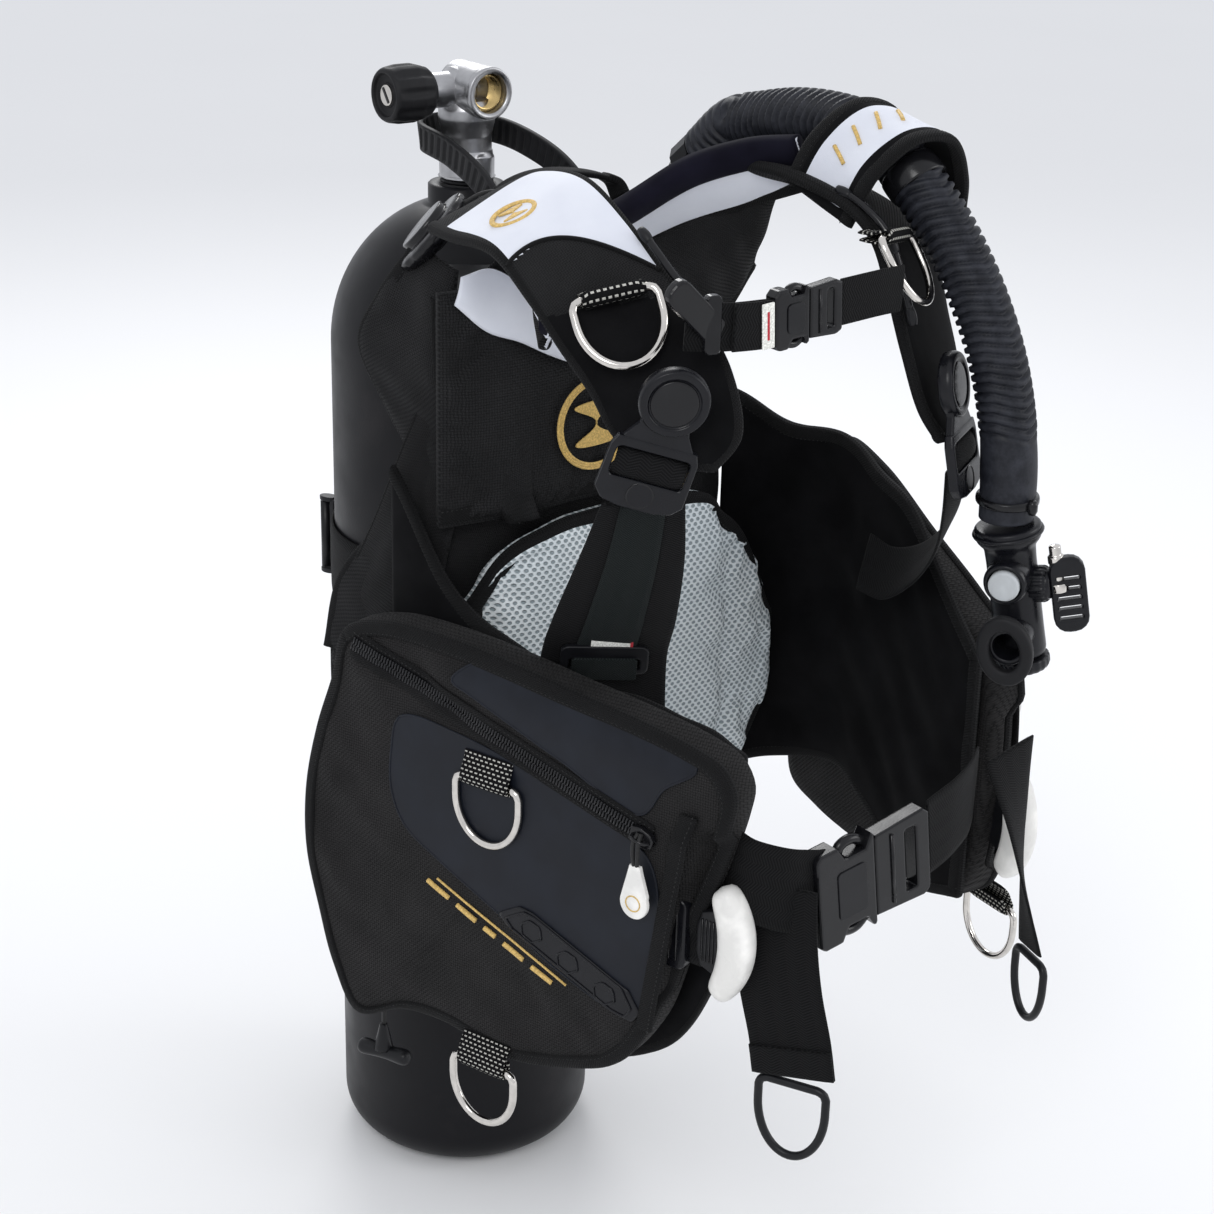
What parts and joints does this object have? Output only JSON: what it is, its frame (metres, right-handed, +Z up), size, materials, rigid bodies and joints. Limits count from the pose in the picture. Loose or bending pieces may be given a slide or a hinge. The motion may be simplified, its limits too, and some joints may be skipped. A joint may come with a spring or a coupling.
{
  "type": "diving buoyancy jacket and cylinder",
  "caption": "Diver's buoyancy jacket with side pockets, inflator hose and buckled straps, worn on a steel breathing-gas cylinder with its valve.",
  "frame": {"origin": "centre of the cylinder's flat base", "axes": "+Z up the cylinder, -Y the way the wearer faces, +X the wearer's left, where the inflator hose is"},
  "size_m": [0.3842, 0.5085, 0.7701],
  "materials": {
    "tank_paint": "satin black paint on steel",
    "chromed_brass": "cast, satin chrome",
    "stainless": "polished stainless wire",
    "brass": "machined thread",
    "rubber": "matt black",
    "plastic": "moulded, satin black",
    "fabric": "black ballistic weave",
    "pocket_fabric": "black weave with charcoal coated panels",
    "mesh": "white spacer mesh",
    "lining": "smooth white lining",
    "white_plastic": "moulded, white",
    "webbing": "black polyester webbing",
    "grey_plastic": "button, pale grey",
    "hose": "corrugated, slate grey"
  },
  "bodies": {
    "assembly": {"air_cell": "fabric", "backplate": "plastic", "cam_buckle_frame": "plastic", "carry_handle": "webbing", "chest_buckle_male": "plastic", "collar": "lining", "cylinder": "tank_paint", "hose_elbow": "plastic", "inflator_body": "plastic", "inflator_end_cap": "plastic", "inflator_hose": "hose", "inflator_mouthpiece": "rubber", "inflator_nipple": "stainless", "inflator_paddle": "plastic", "left_chest_strap": "webbing", "left_pocket": "pocket_fabric", "left_shoulder_pad": "fabric", "left_shoulder_webbing": "webbing", "left_side_panel": "fabric", "lumbar_pad": "mesh", "neck_o_ring": "rubber", "neck_strap": "rubber", "right_belt_tail": "webbing", "right_dump_valve": "plastic", "right_pocket": "pocket_fabric", "right_shoulder_pad": "fabric", "right_shoulder_webbing": "webbing", "right_side_panel": "fabric", "right_waist_belt": "webbing", "shoulder_saddle": "lining", "tank_band": "webbing", "upper_back_pad": "fabric", "valve_body": "chromed_brass", "valve_outlet_insert": "brass", "waist_buckle_female": "plastic"},
    "handwheel": {"valve_handwheel": "rubber"},
    "cam_lever": {"cam_buckle_lever": "plastic"},
    "right_pocket_ring": {"right_pocket_ring": "stainless"},
    "right_hem_ring": {"right_hem_ring": "stainless"},
    "left_hem_ring": {"left_hem_ring": "stainless"},
    "right_shoulder_ring": {"right_shoulder_ring": "stainless"},
    "left_shoulder_ring": {"left_shoulder_ring": "stainless"},
    "right_swivel": {"right_swivel_buckle": "plastic"},
    "left_swivel": {"left_swivel_buckle": "plastic"},
    "right_tail_ring": {"right_tail_ring": "plastic"},
    "chest_female": {"chest_buckle_female": "plastic", "right_chest_strap": "webbing"},
    "waist_left": {"waist_buckle_male": "plastic", "left_waist_belt": "webbing", "left_belt_tail": "webbing"},
    "left_tail_ring": {"left_tail_ring": "plastic"},
    "right_zip_slider": {"right_zip_slider": "plastic"},
    "right_zip_tag": {"right_zip_tag": "white_plastic"},
    "right_weight_pouch": {"right_weight_pouch": "white_plastic"},
    "left_zip_slider": {"left_zip_slider": "plastic"},
    "left_zip_tag": {"left_zip_tag": "white_plastic"},
    "left_weight_pouch": {"left_weight_pouch": "white_plastic"},
    "inflate_button": {"inflate_button": "grey_plastic"},
    "dump_pull": {"lower_dump_pull": "plastic"}
  },
  "joints": [
    {"name": "handwheel_turn", "type": "hinge", "parent": "assembly", "child": "handwheel", "pos_m": [0, 0, 0.728], "axis": [1, 0, 0], "range_deg": [0, 900]},
    {"name": "cam_lever_turn", "type": "hinge", "parent": "assembly", "child": "cam_lever", "pos_m": [-0.05787, 0.08244, 0.425], "axis": [0, 0, 1], "range_deg": [0, 100]},
    {"name": "right_pocket_ring_swing", "type": "hinge", "parent": "assembly", "child": "right_pocket_ring", "pos_m": [-0.12514, -0.2112, 0.378], "axis": [0.3116, -0.9502, 0], "range_deg": [-120, 0]},
    {"name": "right_hem_ring_swing", "type": "hinge", "parent": "assembly", "child": "right_hem_ring", "pos_m": [-0.12576, -0.20929, 0.19], "axis": [0.3116, -0.9502, 0], "range_deg": [-120, 0]},
    {"name": "left_hem_ring_swing", "type": "hinge", "parent": "assembly", "child": "left_hem_ring", "pos_m": [0.20591, -0.29763, 0.24], "axis": [-0.08, -0.9968, 0], "range_deg": [0, 120]},
    {"name": "right_shoulder_ring_swing", "type": "hinge", "parent": "assembly", "child": "right_shoulder_ring", "pos_m": [-0.08946, -0.27215, 0.67192], "axis": [0.8841, -0.4219, 0.2009], "range_deg": [-150, 0]},
    {"name": "left_shoulder_ring_swing", "type": "hinge", "parent": "assembly", "child": "left_shoulder_ring", "pos_m": [0.07714, -0.30215, 0.68804], "axis": [0.8916, 0.4354, -0.1244], "range_deg": [-5, 0]},
    {"name": "right_swivel_turn", "type": "hinge", "parent": "assembly", "child": "right_swivel", "pos_m": [-0.0874, -0.3221, 0.6282], "axis": [-0.5125, -0.8492, -0.127], "range_deg": [-8, 8]},
    {"name": "left_swivel_turn", "type": "hinge", "parent": "assembly", "child": "left_swivel", "pos_m": [0.103, -0.325, 0.606], "axis": [0.4924, -0.8469, 0.2006], "range_deg": [-8, 8]},
    {"name": "right_tail_ring_swing", "type": "hinge", "parent": "assembly", "child": "right_tail_ring", "pos_m": [-0.028, -0.3765, 0.23], "axis": [0.4512, -0.8924, 0], "range_deg": [-60, 60]},
    {"name": "chest_release", "type": "slide", "parent": "assembly", "child": "chest_female", "axis": [-0.9982, 0, -0.0599], "range_m": [0, 0.02]},
    {"name": "waist_release", "type": "slide", "parent": "assembly", "child": "waist_left", "axis": [-0.9901, 0, -0.14], "range_m": [-0.028, 0]},
    {"name": "left_tail_ring_swing", "type": "hinge", "parent": "waist_left", "child": "left_tail_ring", "pos_m": [0.1685, -0.3685, 0.244], "axis": [0.2707, 0.9626, 0], "range_deg": [-60, 60]},
    {"name": "right_zip_slide", "type": "slide", "parent": "assembly", "child": "right_zip_slider", "axis": [-0.3002, 0.9153, 0.2686], "range_m": [0, 0.21]},
    {"name": "right_tag_swing", "type": "hinge", "parent": "right_zip_slider", "child": "right_zip_tag", "pos_m": [-0.09795, -0.31594, 0.376], "axis": [-0.9502, -0.3116, 0], "range_deg": [-40, 40]},
    {"name": "right_pouch_slide", "type": "slide", "parent": "assembly", "child": "right_weight_pouch", "axis": [0.3116, -0.9502, 0], "range_m": [0, 0.1]},
    {"name": "left_zip_slide", "type": "slide", "parent": "assembly", "child": "left_zip_slider", "axis": [0.0725, 0.9033, 0.4229], "range_m": [0, 0.16]},
    {"name": "left_tag_swing", "type": "hinge", "parent": "left_zip_slider", "child": "left_zip_tag", "pos_m": [0.21317, -0.29219, 0.41], "axis": [0.9968, -0.08, 0], "range_deg": [-40, 40]},
    {"name": "left_pouch_slide", "type": "slide", "parent": "assembly", "child": "left_weight_pouch", "axis": [-0.08, -0.9968, 0], "range_m": [0, 0.1]},
    {"name": "inflate_press", "type": "slide", "parent": "assembly", "child": "inflate_button", "axis": [0.846, 0.5265, 0.0844], "range_m": [0, 0.0025], "stiffness_N_per_m": 300},
    {"name": "dump_pull", "type": "slide", "parent": "assembly", "child": "dump_pull", "axis": [0, 0, -1], "range_m": [0, 0.012], "stiffness_N_per_m": 200}
  ]
}
